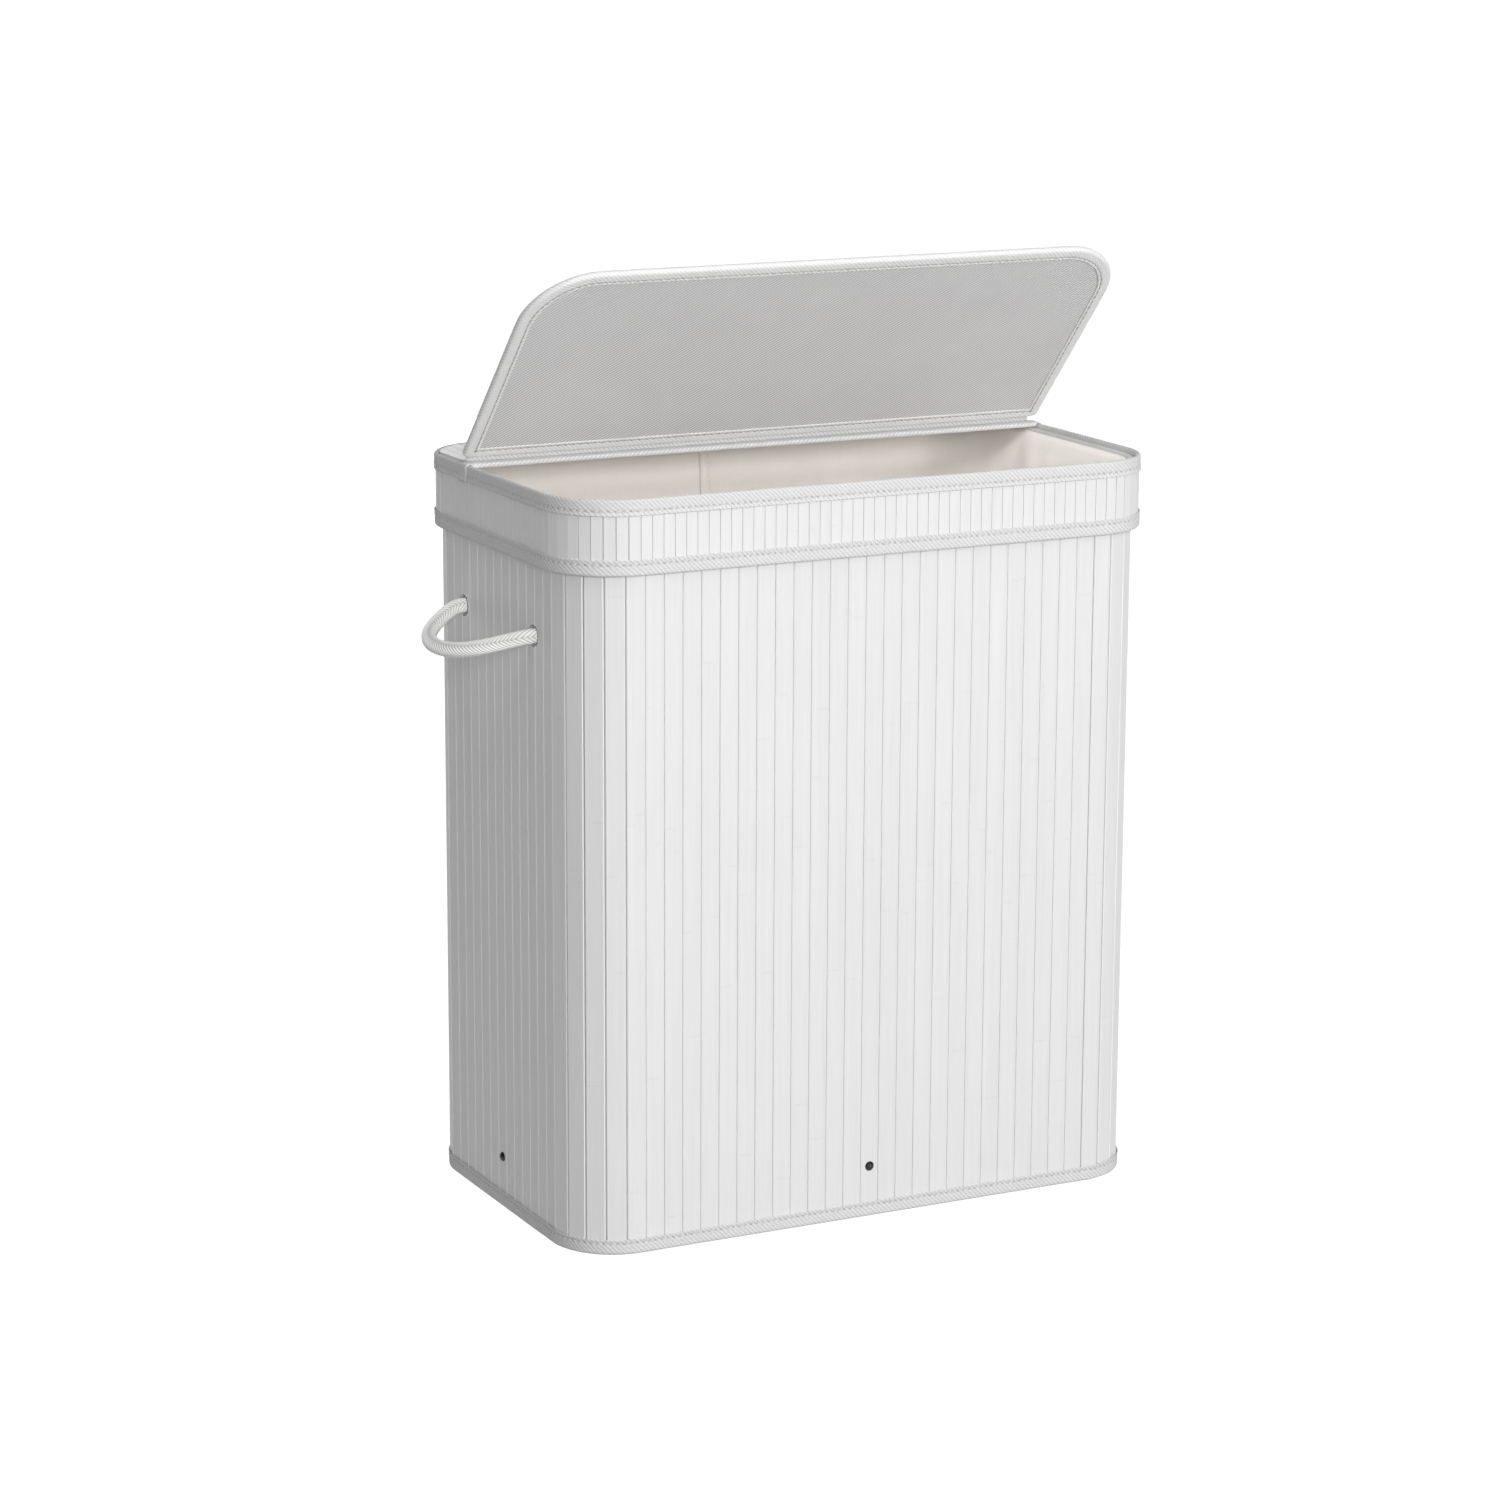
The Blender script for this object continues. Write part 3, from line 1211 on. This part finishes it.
bamboo = painted_bamboo("painted_bamboo")
lid_bamboo = painted_bamboo("painted_bamboo_lid", (math.pi / 2 - REST_ANGLE, 0, 0))
paint_edge = painted_edge("painted_edge")
panel_bamboo = painted_bamboo("painted_bamboo_panel", (math.pi / 2, 0, 0))

basket_pitch = even_pitch(BASKET_PATH, STITCH_PITCH)
tape_cloth = woven_tape("binding_twill", (0.93, 0.93, 0.93), 4.0, 0.26, basket_pitch, 0.24)
lid_cloth = woven_tape("lid_binding_twill", (0.98, 0.98, 0.98), 4.0, 0.16, even_pitch(lid_path(), LID_STITCH_PITCH),
                       0.30)
rim_cloth = woven_tape("rim_twill", (0.94, 0.94, 0.935), 2.6, 0.06, basket_pitch, 0.2)
backing_cloth = plain_cloth("backing_cloth", (0.84, 0.83, 0.81))
liner_material = liner_cotton("liner_cotton")
twill = lining_twill("lid_twill")
rope_material = rope_cotton("rope_cotton")
thread_white = thread("white_thread", (0.88, 0.88, 0.88))
thread_grey = thread("grey_thread", (0.42, 0.42, 0.42))
metal = dark_metal("dark_bronze")
board = raw_wood("hardboard", (0.46, 0.33, 0.21), 30.0)
cleat_wood = raw_wood("softwood", (0.66, 0.51, 0.34), 70.0)

for node in frame["nodes"]:
    if node.endswith("_slats"):
        covering = {"lid_slats": lid_bamboo, "rear_panel_slats": panel_bamboo}.get(node, bamboo)
        narrow = node.startswith("collar_") or covering is not bamboo
        bevel, paint = (0.40 * MM, 0.08 * MM) if narrow else (0.65 * MM, 0.06 * MM)
        ease_cad_edges(node, covering, bevel, paint, paint_edge)
for node in ("wall_backing", "collar_backing", "rear_panel_backing"):
    ease_cad_edges(node, backing_cloth, 0.0)
ease_cad_edges("base_board", board, 0.6 * MM)
ease_cad_edges("lid_board", board, 0.0)
ease_cad_edges("base_cleats", cleat_wood, 0.8 * MM)
ease_cad_edges("base_screws", metal, 0.0)
screws = frame["nodes"]["base_screws"].data
screws.polygons.foreach_set("use_smooth", [True] * len(screws.polygons))

collar_faces = edge("collar_top_binding", 1, "x") - WALL_X, 2.9 * MM
basket_faces = edge("top_binding", 1, "x") - WALL_X, -3.7 * MM
wall_tape("collar_top_tape", *collar_faces, RIM_TOP, 13.2 * MM, 1, 1.0 * MM,
          RIM_TOP - 9.4 * MM, tape_cloth, thread_white, "collar")
wall_tape("collar_bottom_tape", *collar_faces, COLLAR_BOTTOM, 13.2 * MM, -1, 1.0 * MM,
          COLLAR_BOTTOM + 9.2 * MM, tape_cloth, thread_white, "collar")
wall_tape("top_tape", *basket_faces, BASKET_TOP, 20.0 * MM, 1, 0.9 * MM, None, rim_cloth, thread_white, "basket")
wall_tape("bottom_tape", *basket_faces, 0.0, 13.0 * MM, -1, 0.9 * MM, 9.6 * MM, tape_cloth, thread_white, "basket")
make_lid_tape(lid_cloth, thread_grey)
make_lid_lining(twill)
make_hinge_cloth(tape_cloth)
make_panel_tape(tape_cloth, thread_white)
make_handle(-1, "left", rope_material)
make_handle(1, "right", rope_material)
make_liner(liner_material, thread_white)
make_piece_lights()
